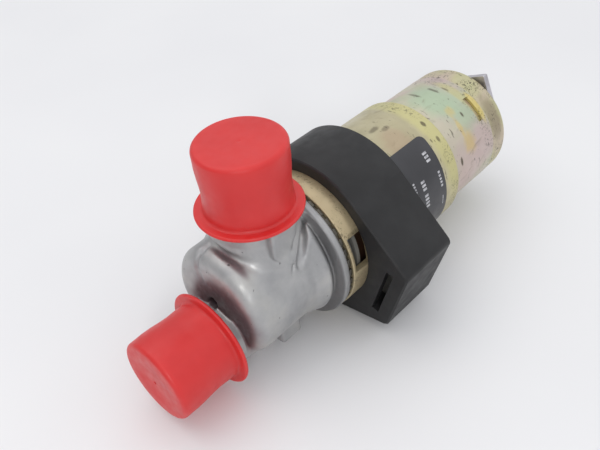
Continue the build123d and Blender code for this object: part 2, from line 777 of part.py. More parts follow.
# ---------------------------------------------------------------- collar and terminals
corner_angle = atan2(tail_half_width, tail_end)
corner_distance = (tail_end**2 + tail_half_width**2) ** 0.5
tangent_angle = corner_angle + acos(collar_radius / corner_distance)
tangent_point = (collar_radius * cos(tangent_angle), collar_radius * sin(tangent_angle))
cavity_end = tail_end - cavity_end_wall
cavity_middle = (cavity_start + cavity_end) / 2
cavity_length = cavity_end - cavity_start
slot_place = tail_end - slot_setback
cover_front_x = collar_rear_x - cover_thickness
with BuildPart() as collar_housing:
    with BuildSketch(section_plane(collar_front_x, azimuth=collar_azimuth)):
        Circle(collar_radius)
        with BuildLine():
            Polyline(
                (tangent_point[0], tangent_point[1]),
                (tail_end, tail_half_width),
                (tail_end, -tail_half_width),
                (tangent_point[0], -tangent_point[1]),
                close=True,
            )
        make_face()
    extrude(amount=collar_length)
    tail_edges = collar_housing.edges().filter_by(Axis.X)
    tail_direction = Axis((0, 0, 0), section_plane(0, azimuth=collar_azimuth).x_dir)
    fillet(tail_edges.sort_by(tail_direction)[-2:], tail_corner)
    chamfer(collar_housing.faces().filter_by(Axis.X).edges(), collar_edge)
    # Stepped bore over the can
    with BuildSketch(section_plane(collar_front_x)):
        Circle(can_radius + part_clearance)
    extrude(amount=collar_length, mode=Mode.SUBTRACT)
    with BuildSketch(section_plane(collar_front_x)):
        Circle(can_band_radius + part_clearance)
    extrude(amount=can_band_end_x + part_clearance - collar_front_x, mode=Mode.SUBTRACT)
    # Terminal cavity, open to the back, and the terminal slot in the front wall
    with BuildSketch(section_plane(collar_front_x + collar_front_wall, azimuth=collar_azimuth)):
        with Locations((cavity_middle, 0)):
            Rectangle(cavity_length, 2 * cavity_half_width)
    extrude(amount=collar_length - collar_front_wall, mode=Mode.SUBTRACT)
    with BuildSketch(section_plane(collar_front_x, azimuth=collar_azimuth)):
        with Locations((slot_place, 0)):
            Rectangle(slot_width, slot_length)
    extrude(amount=collar_front_wall, mode=Mode.SUBTRACT)
    # Way through for the coil leads
    with BuildSketch(window_plane(lead_x, collar_azimuth)):
        Rectangle(lead_opening_length, lead_opening_width)
    extrude(amount=cavity_start, mode=Mode.SUBTRACT)
collar_housing.part.label = "collar_housing"
export_step(collar_housing.part, "parts/collar_housing.step")

with BuildPart() as collar_cover:
    with BuildSketch(section_plane(cover_front_x, azimuth=collar_azimuth)):
        with Locations((cavity_middle, 0)):
            Rectangle(cavity_length - 2 * part_clearance, 2 * (cavity_half_width - part_clearance))
    extrude(amount=cover_thickness)
collar_cover.part.label = "collar_cover"
export_step(collar_cover.part, "parts/collar_cover.step")

with BuildPart() as terminal_blades:
    with BuildSketch(section_plane(blade_front_x, azimuth=collar_azimuth)):
        with Locations((slot_place, blade_offset), (slot_place, -blade_offset)):
            Rectangle(blade_thickness, blade_width)
    extrude(amount=blade_rear_x - blade_front_x)
terminal_blades.part.label = "terminal_blades"
export_step(terminal_blades.part, "parts/terminal_blades.step")

blade_face = slot_place - blade_thickness / 2
carrier_rear_x = cover_front_x - part_clearance
with BuildPart() as terminal_carrier:
    with BuildSketch(section_plane(carrier_front_x, azimuth=collar_azimuth)):
        with Locations((cavity_middle, 0)):
            Rectangle(cavity_length - 2 * part_clearance, 2 * (cavity_half_width - part_clearance))
    extrude(amount=carrier_rear_x - carrier_front_x)
    with BuildSketch(section_plane(carrier_front_x, azimuth=collar_azimuth)):
        with Locations((slot_place, blade_offset), (slot_place, -blade_offset)):
            Rectangle(blade_thickness + 2 * part_clearance, blade_width + 2 * part_clearance)
    extrude(amount=blade_rear_x + part_clearance - carrier_front_x, mode=Mode.SUBTRACT)
    with BuildSketch(window_plane(lead_x, collar_azimuth)):
        with Locations((0, lead_offset), (0, -lead_offset)):
            Circle(lead_radius + part_clearance)
    extrude(amount=blade_face, mode=Mode.SUBTRACT)
terminal_carrier.part.label = "terminal_carrier"
export_step(terminal_carrier.part, "parts/terminal_carrier.step")

lead_start = winding_radius + part_clearance
lead_end = blade_face - part_clearance
lead_plane = window_plane(lead_x, collar_azimuth)
with BuildPart() as lead_wires:
    with BuildSketch(lead_plane.offset(lead_start)):
        with Locations((0, lead_offset), (0, -lead_offset)):
            Circle(lead_radius)
    extrude(amount=lead_end - lead_start)
lead_wires.part.label = "lead_wires"
export_step(lead_wires.part, "parts/lead_wires.step")

# ---------------------------------------------------------------- label
label_radius = can_radius + part_clearance / 2
with BuildPart() as type_label:
    with BuildSketch(radial_plane(label_start_azimuth)):
        with BuildLine():
            Polyline(
                (label_front_x, label_radius),
                (label_rear_x, label_radius),
                (label_rear_x, label_radius + label_thickness),
                (label_front_x, label_radius + label_thickness),
                close=True,
            )
        make_face()
    revolve(axis=solenoid_axis, revolution_arc=label_sweep)
    label_corners = type_label.edges().group_by(SortBy.LENGTH)[0]
    fillet(label_corners, label_corner)
type_label.part.label = "type_label"
export_step(type_label.part, "parts/type_label.step")

# ---------------------------------------------------------------- port caps
cap_straight_end = cap_height - cap_straight_setback
cap_swell_height = cap_height - cap_swell_setback


def port_cap(mouth_plane):
    """Push-on cap, open at the mouth plane and closed along the plane's normal."""
    normal = mouth_plane.z_dir
    side = mouth_plane.x_dir
    profile_plane = Plane(origin=mouth_plane.origin, x_dir=side, z_dir=side.cross(normal))
    inner_top = cap_height - cap_end_wall
    root_height = cap_flange_thickness + cap_wall
    with BuildPart() as cap:
        with BuildSketch(profile_plane):
            with BuildLine():
                outer_neck = (cap_neck_radius, root_height)
                outer_swell = (cap_swell_radius, cap_swell_height)
                outer_edge = (cap_end_radius, cap_height)
                inner_swell = (cap_swell_radius - cap_wall, cap_swell_height)
                inner_edge = (cap_end_radius - cap_wall, inner_top)
                Line((cap_mouth_radius, 0), (cap_flange_radius, 0))
                Line((cap_flange_radius, 0), (cap_flange_radius, cap_flange_thickness))
                flange_root = (cap_neck_radius + cap_wall, cap_flange_thickness)
                Line((cap_flange_radius, cap_flange_thickness), flange_root)
                Line(flange_root, outer_neck)
                Line(outer_neck, (cap_neck_radius, cap_straight_end))
                Line((cap_neck_radius, cap_straight_end), outer_swell)
                Spline(outer_swell, outer_edge, tangents=[(0, 1), (-1, 0)])
                Line(outer_edge, (0, cap_height))
                Line((0, cap_height), (0, inner_top))
                Line((0, inner_top), inner_edge)
                Spline(inner_edge, inner_swell, tangents=[(1, 0), (0, -1)])
                Line(inner_swell, (cap_mouth_radius, cap_straight_end))
                Line((cap_mouth_radius, cap_straight_end), (cap_mouth_radius, 0))
            make_face()
        revolve(axis=Axis(mouth_plane.origin, normal))
    return cap.part


front_mouth = Plane(origin=(front_mouth_x, 0, front_port_height), x_dir=(0, 1, 0), z_dir=(-1, 0, 0))
side_mouth = Plane(origin=(0, 0, side_mouth_z), x_dir=(1, 0, 0), z_dir=(0, 0, 1))
for cap_name, mouth in (("front_port_cap", front_mouth), ("side_port_cap", side_mouth)):
    finished_cap = port_cap(mouth)
    finished_cap.label = cap_name
    export_step(finished_cap, "parts/" + cap_name + ".step")
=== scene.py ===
import math

import bpy
import numpy as np
from mathutils import Matrix, Vector


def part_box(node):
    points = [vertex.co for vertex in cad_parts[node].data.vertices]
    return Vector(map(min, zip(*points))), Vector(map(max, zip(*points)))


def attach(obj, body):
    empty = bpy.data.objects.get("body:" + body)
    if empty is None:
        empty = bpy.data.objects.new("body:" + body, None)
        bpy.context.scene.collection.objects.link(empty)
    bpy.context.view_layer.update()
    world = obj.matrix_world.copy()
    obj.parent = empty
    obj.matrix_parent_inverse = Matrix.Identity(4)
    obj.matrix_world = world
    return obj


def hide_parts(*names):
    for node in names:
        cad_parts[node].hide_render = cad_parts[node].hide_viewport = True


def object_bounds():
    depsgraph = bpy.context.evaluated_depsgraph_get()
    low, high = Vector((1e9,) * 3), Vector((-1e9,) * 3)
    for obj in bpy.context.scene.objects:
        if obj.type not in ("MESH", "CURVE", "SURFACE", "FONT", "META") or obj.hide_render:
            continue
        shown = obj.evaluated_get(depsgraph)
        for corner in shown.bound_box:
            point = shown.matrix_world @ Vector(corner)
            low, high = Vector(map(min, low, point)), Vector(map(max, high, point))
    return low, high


# Looks of an angle-pattern solenoid valve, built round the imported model. Shapes are worked
# out in millimetres in the model's own frame, and become metres when a mesh is made.

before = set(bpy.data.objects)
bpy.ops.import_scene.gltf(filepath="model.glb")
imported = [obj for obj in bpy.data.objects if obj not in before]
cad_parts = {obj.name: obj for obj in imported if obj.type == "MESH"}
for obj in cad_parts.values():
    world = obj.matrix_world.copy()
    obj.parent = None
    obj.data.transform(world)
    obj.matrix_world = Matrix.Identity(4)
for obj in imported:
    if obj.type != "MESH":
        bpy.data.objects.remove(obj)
cad_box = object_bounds()
MM = 0.001


def span(node):
    """Lowest and highest corner of a CAD node, in millimetres."""
    low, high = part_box(node)
    return low / MM, high / MM


# ---------------------------------------------------------------- places read from the frame
can_low, can_high = span("can_shell")
body_low, body_high = span("valve_body")
front_cap_low, front_cap_high = span("front_port_cap")
side_cap_low, side_cap_high = span("side_port_cap")
rear_can_low, rear_can_high = span("rear_can")
end_cap_high = span("end_cap")[1]
collar_low = span("collar_housing")[0]
nut_low, nut_high = span("end_nut")
stud_low, stud_high = span("spring_adjuster")
axis_z = (can_low.z + can_high.z) / 2
flange_face = body_high.x
front_tip = body_low.x
side_tip = body_high.z - axis_z
front_port_z = (front_cap_low.z + front_cap_high.z) / 2 - axis_z
front_mouth = front_cap_high.x
side_mouth = side_cap_low.z - axis_z
cap_height = side_cap_high.z - side_cap_low.z
cap_flange_radius = (side_cap_high.x - side_cap_low.x) / 2
can_radius = 25.1
rear_can_radius = (rear_can_high.z - rear_can_low.z) / 2


# ---------------------------------------------------------------- mesh helpers
def make_piece(name, points, faces, body, finish, replaced=()):
    """A smooth-shaded mesh piece from points in millimetres, riding on a body."""
    mesh = bpy.data.meshes.new(name)
    mesh.from_pydata((np.asarray(points) * MM).tolist(), [], [list(map(int, f)) for f in faces])
    mesh.validate()
    mesh.polygons.foreach_set("use_smooth", [True] * len(mesh.polygons))
    mesh.materials.append(finish)
    piece = bpy.data.objects.new(name, mesh)
    bpy.context.scene.collection.objects.link(piece)
    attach(piece, body)
    if replaced:
        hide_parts(*replaced)
    return piece


def crease_edges(piece, degrees=35.0):
    """Flat shading across edges sharper than an angle."""
    modifier = piece.modifiers.new("creases", "EDGE_SPLIT")
    modifier.split_angle = math.radians(degrees)
    modifier.use_edge_sharp = False


def outline_distance(across, along, corners):
    """Signed distance to a closed outline in its own plane, negative inside."""
    nearest = np.full(across.shape, np.inf)
    inside = np.zeros(across.shape, bool)
    for (ax, ay), (bx, by) in zip(corners, corners[1:] + corners[:1]):
        ex, ey = bx - ax, by - ay
        share = ((across - ax) * ex + (along - ay) * ey) / max(ex * ex + ey * ey, 1e-12)
        share = np.clip(share, 0.0, 1.0)
        nearest = np.minimum(nearest, (across - ax - share * ex) ** 2 + (along - ay - share * ey) ** 2)
        if ay != by:
            spans = (ay > along) != (by > along)
            inside ^= spans & (across < ex * (along - ay) / ey + ax)
    distance = np.sqrt(nearest)
    return np.where(inside, -distance, distance)


def arc(centre, radius, start, end, steps=8):
    """Points on an arc, angles in degrees."""
    angles = np.radians(np.linspace(start, end, steps + 1))
    return [(centre[0] + radius * math.cos(a), centre[1] + radius * math.sin(a)) for a in angles]


def smooth_join(a, b, blend):
    """Union of two distances with a fillet about as large as blend."""
    share = np.maximum(blend - np.abs(a - b), 0.0) / blend
    return np.minimum(a, b) - share * share * blend / 4


def smooth_cut(a, b, blend):
    """Distance a with distance b taken away, and a rounded rim."""
    return -smooth_join(-a, b, blend)


def slab(value, low, high):
    """Distance to the space between two planes."""
    return np.maximum(low - value, value - high)


def rounded_meet(a, b, radius):
    """Intersection of two distances with a rounded edge."""
    outside = np.hypot(np.maximum(a + radius, 0.0), np.maximum(b + radius, 0.0))
    return np.minimum(np.maximum(a, b) + radius, 0.0) + outside - radius


def path_distance(points, route, radius):
    """Distance to a round bar that follows a route."""
    nearest = np.full(len(points), np.inf)
    for a, b in zip(route, route[1:]):
        a, b = np.array(a, float), np.array(b, float)
        edge = b - a
        share = np.clip((points - a) @ edge / (edge @ edge), 0.0, 1.0)
        nearest = np.minimum(nearest, np.linalg.norm(points - a - share[:, None] * edge, axis=1))
    return nearest - radius


def unevenness(points, size, seed):
    """Smooth wavy noise of unit height, whose waves are about the given size."""
    draw = np.random.default_rng(seed)
    total = np.zeros(len(points))
    for _ in range(6):
        way = draw.normal(size=3)
        way *= 2 * math.pi / (size * draw.uniform(0.7, 1.5) * np.linalg.norm(way))
        total += np.sin(points @ way + draw.uniform(0, 2 * math.pi))
    return total / 3


def skin_of(distance, low, high, pitch):
    """Quad mesh of the zero surface of a distance function, its points moved onto the surface."""
    axes = [np.arange(a - 1.5 * pitch, b + 2.5 * pitch, pitch) for a, b in zip(low, high)]
    grid = np.stack(np.meshgrid(*axes, indexing="ij"), -1)
    shape = grid.shape[:3]
    values = np.concatenate([distance(part) for part in np.array_split(grid.reshape(-1, 3), 16)])
    values = values.reshape(shape)
    inside = values < 0
    cells = tuple(n - 1 for n in shape)
    total, count = np.zeros(cells + (3,)), np.zeros(cells)
    corners = [(i, j, k) for i in (0, 1) for j in (0, 1) for k in (0, 1)]
    for a in corners:
        for b in corners:
            if sum(abs(p - q) for p, q in zip(a, b)) != 1 or a > b:
                continue
            first = tuple(slice(p, p + n) for p, n in zip(a, cells))
            second = tuple(slice(p, p + n) for p, n in zip(b, cells))
            cross = inside[first] != inside[second]
            share = values[first] / np.where(cross, values[first] - values[second], 1.0)
            place = np.array(a) + share[..., None] * (np.array(b) - np.array(a))
            total += np.where(cross[..., None], place, 0.0)
            count += cross
    used = count > 0
    number = np.full(cells, -1)
    number[used] = np.arange(used.sum())
    start = np.array([axis[0] for axis in axes])
    points = start + pitch * (np.argwhere(used) + total[used] / count[used][:, None])
    faces = []
    for way in range(3):
        side, up = (way + 1) % 3, (way + 2) % 3
        here = [slice(1, n - 1) for n in shape]
        here[way] = slice(0, shape[way] - 1)
        beyond = list(here)
        beyond[way] = slice(1, shape[way])
        cross = inside[tuple(here)] != inside[tuple(beyond)]
        at = np.argwhere(cross) + np.array([0 if n == way else 1 for n in range(3)])
        ring = []
        for ds, du in ((-1, -1), (0, -1), (0, 0), (-1, 0)):
            cell = at.copy()
            cell[:, side] += ds
            cell[:, up] += du
            ring.append(number[cell[:, 0], cell[:, 1], cell[:, 2]])
        quads = np.stack(ring, -1)
        outwards = inside[at[:, 0], at[:, 1], at[:, 2]]
        quads[~outwards] = quads[~outwards][:, ::-1]
        faces.append(quads)
    reach = 0.02
    nudges = reach * np.eye(3)
    for _ in range(3):
        off = distance(points)
        rise = [distance(points + nudge) - distance(points - nudge) for nudge in nudges]
        slope = np.stack(rise, -1) / (2 * reach)
        step = off[:, None] * slope / np.maximum((slope * slope).sum(1), 0.25)[:, None]
        points = points - np.clip(step, -pitch / 2, pitch / 2)
    return points, np.concatenate(faces)


def lathe(profile, origin, way, segments=128, wobble=None):
    """Closed mesh turned round an axis from a closed profile of (radius, height) points."""
    way = Vector(way).normalized()
    side = way.orthogonal().normalized()
    other = way.cross(side)
    points, faces = [], []
    for s in range(segments):
        angle = 2 * math.pi * s / segments
        for radius, height in profile:
            if wobble:
                radius += wobble(angle, height)
            spoke = side * math.cos(angle) + other * math.sin(angle)
            points.append(Vector(origin) + spoke * max(radius, 0.0) + way * height)
    n = len(profile)
    for s in range(segments):
        for i in range(n):
            a, b = s * n + i, s * n + (i + 1) % n
            c, d = ((s + 1) % segments) * n + (i + 1) % n, ((s + 1) % segments) * n + i
            faces.append((a, b, c, d))
    return points, faces


def close_poles(piece):
    """Merges the points that a lathe leaves on its axis, and drops the empty faces there."""
    weld = piece.modifiers.new("poles", "WELD")
    weld.merge_threshold = 0.002 * MM


# ---------------------------------------------------------------- finishes
class Finish:
    """A material's node tree, with short calls for the nodes that the finishes share."""

    def __init__(self, name, metallic, roughness, colour):
        self.material = bpy.data.materials.new(name)
        self.material.use_nodes = True
        self.material.diffuse_color = (*colour, 1.0)
        self.tree = self.material.node_tree
        self.shader = self.tree.nodes["Principled BSDF"]
        self.set("Metallic", metallic)
        self.set("Roughness", roughness)
        self.set("Base Color", (*colour, 1.0))
        self.place = self.tree.nodes.new("ShaderNodeTexCoord").outputs["Object"]

    def put(self, socket, value):
        """Links a socket to another node's output, or sets its own value."""
        if isinstance(value, bpy.types.NodeSocket):
            self.tree.links.new(value, socket)
        elif isinstance(value, tuple) and len(value) == 3 and socket.type == "RGBA":
            socket.default_value = (*value, 1.0)
        else:
            socket.default_value = value

    def set(self, name, value):
        """Links or sets one of the shader's own inputs."""
        self.put(self.shader.inputs[name], value)

    def math(self, operation, a, b=0.0):
        """One arithmetic step on numbers or outputs."""
        node = self.tree.nodes.new("ShaderNodeMath")
        node.operation = operation
        self.put(node.inputs[0], a)
        self.put(node.inputs[1], b)
        return node.outputs[0]

    def stretched(self, x, y, z, place=None):
        """The place with each axis scaled, which stretches a pattern the other way."""
        node = self.tree.nodes.new("ShaderNodeMapping")
        self.put(node.inputs["Vector"], place or self.place)
        node.inputs["Scale"].default_value = (x, y, z)
        return node.outputs[0]

    def noise(self, size, detail=3.0, place=None, distortion=0.0):
        """Noise from 0 to 1, its features about size millimetres."""
        node = self.tree.nodes.new("ShaderNodeTexNoise")
        self.put(node.inputs["Vector"], place or self.place)
        node.inputs["Scale"].default_value = 1.0 / (size * MM)
        node.inputs["Detail"].default_value = detail
        node.inputs["Distortion"].default_value = distortion
        return node.outputs["Fac"]

    def fade(self, value, low, high, bottom=0.0, top=1.0):
        """Smooth step of a value from bottom at low to top at high."""
        node = self.tree.nodes.new("ShaderNodeMapRange")
        node.interpolation_type = "SMOOTHSTEP"
        for socket, number in enumerate((value, low, high, bottom, top)):
            self.put(node.inputs[socket], number)
        return node.outputs[0]

    def mix(self, share, a, b):
        """Colour a turning into colour b as the share goes from 0 to 1."""
        colour_a, colour_b, colour_result = 6, 7, 2
        node = self.tree.nodes.new("ShaderNodeMix")
        node.data_type = "RGBA"
        self.put(node.inputs["Factor"], share)
        self.put(node.inputs[colour_a], a)
        self.put(node.inputs[colour_b], b)
        return node.outputs[colour_result]

    def ramp(self, value, *stops):
        """Colour ramp through (position, colour) stops."""
        node = self.tree.nodes.new("ShaderNodeValToRGB")
        self.put(node.inputs[0], value)
        elements = node.color_ramp.elements
        while len(elements) < len(stops):
            elements.new(0.5)
        for element, (position, colour) in zip(elements, stops):
            element.position = position
            element.color = (*colour, 1.0)
        return node.outputs[0]

    def axes(self):
        """The place's x, y and z in millimetres, z from the solenoid axis."""
        node = self.tree.nodes.new("ShaderNodeSeparateXYZ")
        self.put(node.inputs[0], self.place)
        x, y, z = (self.math("DIVIDE", node.outputs[n], MM) for n in range(3))
        return x, y, self.math("SUBTRACT", z, axis_z)

    def unrolled(self, radius):
        """Place along the solenoid axis, and round it from the top, in millimetres, for a round shell."""
        x, y, z = self.axes()
        around = self.math("MULTIPLY", self.math("ARCTAN2", y, z), radius)
        return x, around

    def spot(self, u, v, centre, half_size, softness=0.5, ragged=None, raggedness=0.6):
        """1 inside an ellipse about a centre, 0 outside, with a soft and ragged edge."""
        du = self.math("DIVIDE", self.math("SUBTRACT", u, centre[0]), half_size[0])
        dv = self.math("DIVIDE", self.math("SUBTRACT", v, centre[1]), half_size[1])
        squares = self.math("ADD", self.math("MULTIPLY", du, du), self.math("MULTIPLY", dv, dv))
        far = self.math("SQRT", squares)
        if ragged is not None:
            shift = self.math("MULTIPLY", self.math("SUBTRACT", ragged, 0.5), 2 * raggedness)
            far = self.math("ADD", far, shift)
        return self.fade(far, 1.0 + softness / 2, 1.0 - softness / 2)

    def bump(self, height, depth, strength=1.0):
        """Surface relief, depth in millimetres."""
        node = self.tree.nodes.new("ShaderNodeBump")
        self.put(node.inputs["Height"], height)
        node.inputs["Distance"].default_value = depth * MM
        node.inputs["Strength"].default_value = strength
        self.set("Normal", node.outputs[0])


def cast_aluminium():
    f = Finish("cast_aluminium", 0.72, 0.5, (0.36, 0.36, 0.37))
    x, y, z = f.axes()
    cloud = f.noise(10.0, 4.0, distortion=0.4)
    grey = f.ramp(
        cloud, (0.3, (0.37, 0.372, 0.378)), (0.52, (0.45, 0.45, 0.448)), (0.75, (0.51, 0.505, 0.485)))
    ragged = f.noise(5.0, 4.0)
    # Purple-brown stain: a broad patch on the front face; and a purple-brown darkening along the crease under
    # the side port
    purple = (0.17, 0.115, 0.125)
    patch = f.spot(y, z, (-3.0, -1.5), (14.2, 13.4), 0.35, ragged, 0.14)
    front = f.math("MULTIPLY", f.fade(x, block_front + 4.6, block_front + 2.2),
                   f.fade(x, block_front - 0.8, block_front - 0.35))
    stain_and_crease_tint = f.math("MULTIPLY", f.math("MULTIPLY", patch, front), f.fade(ragged, 0.25, 0.6, 0.65, 0.95))
    # Purple-brown darkening along the crease under the side port, kept to a band of heights
    crease = f.spot(x, y, (-14.6, -4.0), (1.5, 8.0), 0.8, ragged, 0.2)
    crease = f.math("MULTIPLY", f.math("MULTIPLY", crease, f.fade(z, 14.0, 17.0)), f.fade(z, 21.5, 20.3))
    stain_and_crease_tint = f.math("MAXIMUM", stain_and_crease_tint, f.math("MULTIPLY", crease, 0.8))
    # Painted shade: the cove at the flange's root is darkened towards near black, standing in for the dark
    # reflection there
    painted_cove_shade = f.math("MULTIPLY", f.fade(x, 11.0, 11.8), f.fade(x, 14.2, 13.4))
    grey = f.mix(f.math("MULTIPLY", painted_cove_shade, 0.75), grey, (0.13, 0.128, 0.13))
    colour = f.mix(stain_and_crease_tint, grey, purple)
    # Pits and dark specks
    specks = f.fade(f.noise(1.7, 2.0), 0.73, 0.79)
    colour = f.mix(f.math("MULTIPLY", specks, 0.7), colour, (0.05, 0.046, 0.046))
    f.set("Base Color", colour)
    f.set("Roughness", f.fade(f.noise(2.5, 4.0), 0.2, 0.8, 0.38, 0.6))
    grain = f.math("ADD", f.math("MULTIPLY", f.noise(0.7, 3.0), 0.35), f.noise(3.0, 2.0))
    f.bump(f.math("SUBTRACT", grain, f.math("MULTIPLY", specks, 2.0)), 0.1, 0.6)
    return f.material


def chromate_steel(name, radius, base_stops, spots, speck_share, worn=()):
    """Iridescent yellow chromate on a round shell, with scuffs, specks and coloured patches.

    A spot is (centre, half size, softness, raggedness, colour, strength), its centre and half size
    given along the axis and then round it from the top. Worn bands are spans along the axis.
    """
    f = Finish(name, 0.55, 0.4, base_stops[1][1])
    u, v = f.unrolled(radius)
    tint = f.ramp(f.noise(22.0, 3.0, distortion=1.2), *base_stops)
    ragged = f.noise(5.0, 5.0, distortion=0.8)
    colour = tint
    for centre, half_size, softness, raggedness, paint, strength in spots:
        mask = f.spot(u, v, centre, half_size, softness, ragged, raggedness)
        colour = f.mix(f.math("MULTIPLY", mask, strength), colour, paint)
    smudge = f.fade(f.noise(7.0, 6.0, place=f.stretched(0.6, 1.0, 1.0), distortion=2.0), 0.6, 0.74)
    colour = f.mix(f.math("MULTIPLY", smudge, 0.35), colour, (0.22, 0.17, 0.1))
    scuff = f.fade(f.noise(1.1, 4.0, place=f.stretched(1.0, 0.3, 0.3), distortion=0.6), 0.65, 0.7)
    for start, end in worn:
        band = f.math("MULTIPLY", f.fade(u, start, start + 1.5), f.fade(u, end, end - 1.5))
        flecks = f.math("MULTIPLY", band, f.fade(f.noise(0.9, 5.0, distortion=1.0), 0.54, 0.62))
        flecks = f.math("MULTIPLY", flecks, f.fade(f.noise(8.0, 2.0), 0.4, 0.62))
        scuff = f.math("MAXIMUM", scuff, flecks)
    colour = f.mix(f.math("MULTIPLY", scuff, speck_share), colour, (0.07, 0.058, 0.04))
    f.set("Base Color", colour)
    f.set("Roughness", f.fade(ragged, 0.3, 0.7, 0.34, 0.52))
    relief = f.math("ADD", f.noise(12.0, 2.0), f.math("MULTIPLY", f.noise(0.8, 2.0), 0.08))
    f.bump(f.math("SUBTRACT", relief, f.math("MULTIPLY", scuff, 0.2)), 0.25, 0.7)
    return f.material


def red_polyethylene():
    f = Finish("red_polyethylene", 0.0, 0.42, (0.56, 0.022, 0.02))
    cloud = f.noise(16.0, 3.0)
    f.set("Base Color", f.ramp(cloud, (0.3, (0.6, 0.02, 0.02)), (0.7, (0.68, 0.03, 0.029))))
    f.set("Roughness", f.fade(f.noise(3.0, 3.0), 0.3, 0.7, 0.36, 0.48))
    f.set("Subsurface Weight", 0.25)
    f.set("Subsurface Radius", (0.004, 0.0008, 0.0006))
    f.set("Subsurface Scale", 1.0)
    f.bump(f.math("ADD", f.noise(9.0, 2.0), f.math("MULTIPLY", f.noise(0.5, 2.0), 0.05)), 0.15, 0.4)
    return f.material


def moulded_plastic(name, colour, roughness, grain, shine=0.5):
    f = Finish(name, 0.0, roughness, colour)
    f.set("Specular IOR Level", shine)
    lighter = tuple(c * 1.5 + 0.003 for c in colour)
    f.set("Base Color", f.ramp(f.noise(14.0, 4.0), (0.35, colour), (0.8, lighter)))
    f.set("Roughness", f.fade(f.noise(5.0, 4.0), 0.3, 0.7, roughness - 0.06, roughness + 0.08))
    f.bump(f.noise(0.45, 2.0), grain, 0.5)
    return f.material


def worked_metal(name, colour, roughness, metallic=0.95, grain=(1.0, 1.0, 1.0)):
    """Plated, turned or drawn metal with fine marks stretched along one axis."""
    f = Finish(name, metallic, roughness, colour)
    darker = tuple(c * 0.72 for c in colour)
    marks = f.noise(1.2, 4.0, place=f.stretched(*grain))
    f.set("Base Color", f.ramp(f.noise(6.0, 4.0), (0.3, darker), (0.6, colour)))
    f.set("Roughness", f.fade(marks, 0.3, 0.7, roughness - 0.08, roughness + 0.1))
    f.bump(marks, 0.03, 0.6)
    return f.material


def printed_ink():
    f = Finish("printed_ink", 0.0, 0.5, (0.5, 0.5, 0.52))
    f.set("Base Color", f.ramp(f.noise(1.5, 3.0), (0.35, (0.3, 0.3, 0.32)), (0.6, (0.58, 0.58, 0.6))))
    return f.material


block_front = front_mouth + 4.2
aluminium = cast_aluminium()
yellow = (0.6, 0.56, 0.27)
pale_green = (0.45, 0.55, 0.39)
pink = (0.6, 0.48, 0.45)
tan = (0.46, 0.36, 0.24)
dark_mark = (0.1, 0.08, 0.05)
ochre = (0.68, 0.5, 0.16)
can_finish = chromate_steel(
    "can_chromate", can_radius,
    ((0.28, (0.42, 0.38, 0.24)), (0.5, (0.54, 0.49, 0.32)), (0.72, (0.58, 0.53, 0.4))),
    [
        ((22.0, 0.0), (5.5, 90.0), 0.6, 0.2, (0.5, 0.4, 0.24), 0.8),
        ((76.5, -9.0), (4.5, 34.0), 0.8, 0.3, yellow, 0.9),
        ((60.5, -11.0), (6.0, 7.0), 0.9, 0.5, tan, 0.85),
        ((59.5, -1.0), (2.6, 1.2), 0.8, 0.9, dark_mark, 0.6),
        ((62.5, -3.5), (1.8, 1.0), 0.8, 0.9, dark_mark, 0.5),
        ((75.5, -11.0), (0.7, 1.3), 0.7, 0.7, dark_mark, 0.8),
        ((75.9, -18.5), (0.6, 1.0), 0.7, 0.7, dark_mark, 0.7),
    ],
    0.6, worn=((17.0, 26.0), (73.5, 79.0)),
)
rear_finish = chromate_steel(
    "rear_can_chromate", rear_can_radius,
    ((0.28, (0.44, 0.5, 0.34)), (0.5, (0.58, 0.55, 0.42)), (0.72, (0.62, 0.5, 0.46))),
    [
        ((91.5, -4.0), (7.5, 11.0), 1.0, 0.25, pale_green, 0.95),
        ((98.0, -14.0), (6.5, 8.0), 1.0, 0.25, pale_green, 0.75),
        ((99.0, -30.0), (8.0, 9.0), 1.0, 0.25, pink, 0.95),
        ((88.5, -36.0), (9.0, 12.0), 1.0, 0.25, pink, 0.85),
        ((91.4, -11.6), (1.9, 2.1), 1.2, 1.0, ochre, 0.5),
        ((90.4, -19.1), (1.0, 4.6), 1.0, 0.7, ochre, 0.55),
        ((91.9, -26.0), (3.0, 4.4), 1.2, 1.1, ochre, 0.6),
        ((104.2, -16.0), (1.6, 6.5), 0.8, 0.3, (0.68, 0.56, 0.2), 0.95),
        ((101.4, -7.0), (2.0, 9.0), 0.8, 0.3, yellow, 0.7),
        ((84.7, -30.5), (0.7, 1.8), 0.6, 0.4, dark_mark, 0.9),
        ((89.7, 3.8), (0.7, 3.2), 0.8, 0.8, dark_mark, 0.6),
        ((96.5, -0.5), (0.6, 2.4), 0.9, 0.8, dark_mark, 0.7),
        ((100.0, -3.0), (0.5, 1.6), 0.9, 0.8, dark_mark, 0.6),
        ((95.2, -15.5), (0.6, 1.2), 0.8, 0.9, dark_mark, 0.85),
    ],
    0.6, worn=((99.0, 107.0),),
)
end_finish = chromate_steel(
    "end_cap_chromate", rear_can_radius,
    ((0.28, (0.5, 0.5, 0.28)), (0.5, (0.56, 0.52, 0.32)), (0.72, (0.58, 0.47, 0.4))),
    [((109.5, -24.0), (3.4, 9.0), 0.9, 0.5, (0.3, 0.24, 0.17), 0.7)],
    0.85, worn=((105.0, 116.0),),
)
plated = worked_metal("plated_steel", (0.5, 0.5, 0.52), 0.38)
bracket_metal = worked_metal("bracket_zinc", (0.62, 0.6, 0.63), 0.45)
lock_metal = worked_metal("lock_ring_chromate", (0.13, 0.12, 0.1), 0.45)
iron = worked_metal("turned_iron", (0.36, 0.35, 0.35), 0.35, grain=(3.0, 0.3, 0.3))
spring_steel = worked_metal("spring_steel", (0.3, 0.3, 0.31), 0.3)
brass = worked_metal("turned_brass", (0.62, 0.43, 0.17), 0.3, grain=(3.0, 0.3, 0.3))
tinned = worked_metal("tinned_brass", (0.3, 0.27, 0.22), 0.45)
copper = worked_metal("enamelled_copper", (0.1, 0.05, 0.03), 0.4, 0.6, grain=(8.0, 0.3, 0.3))
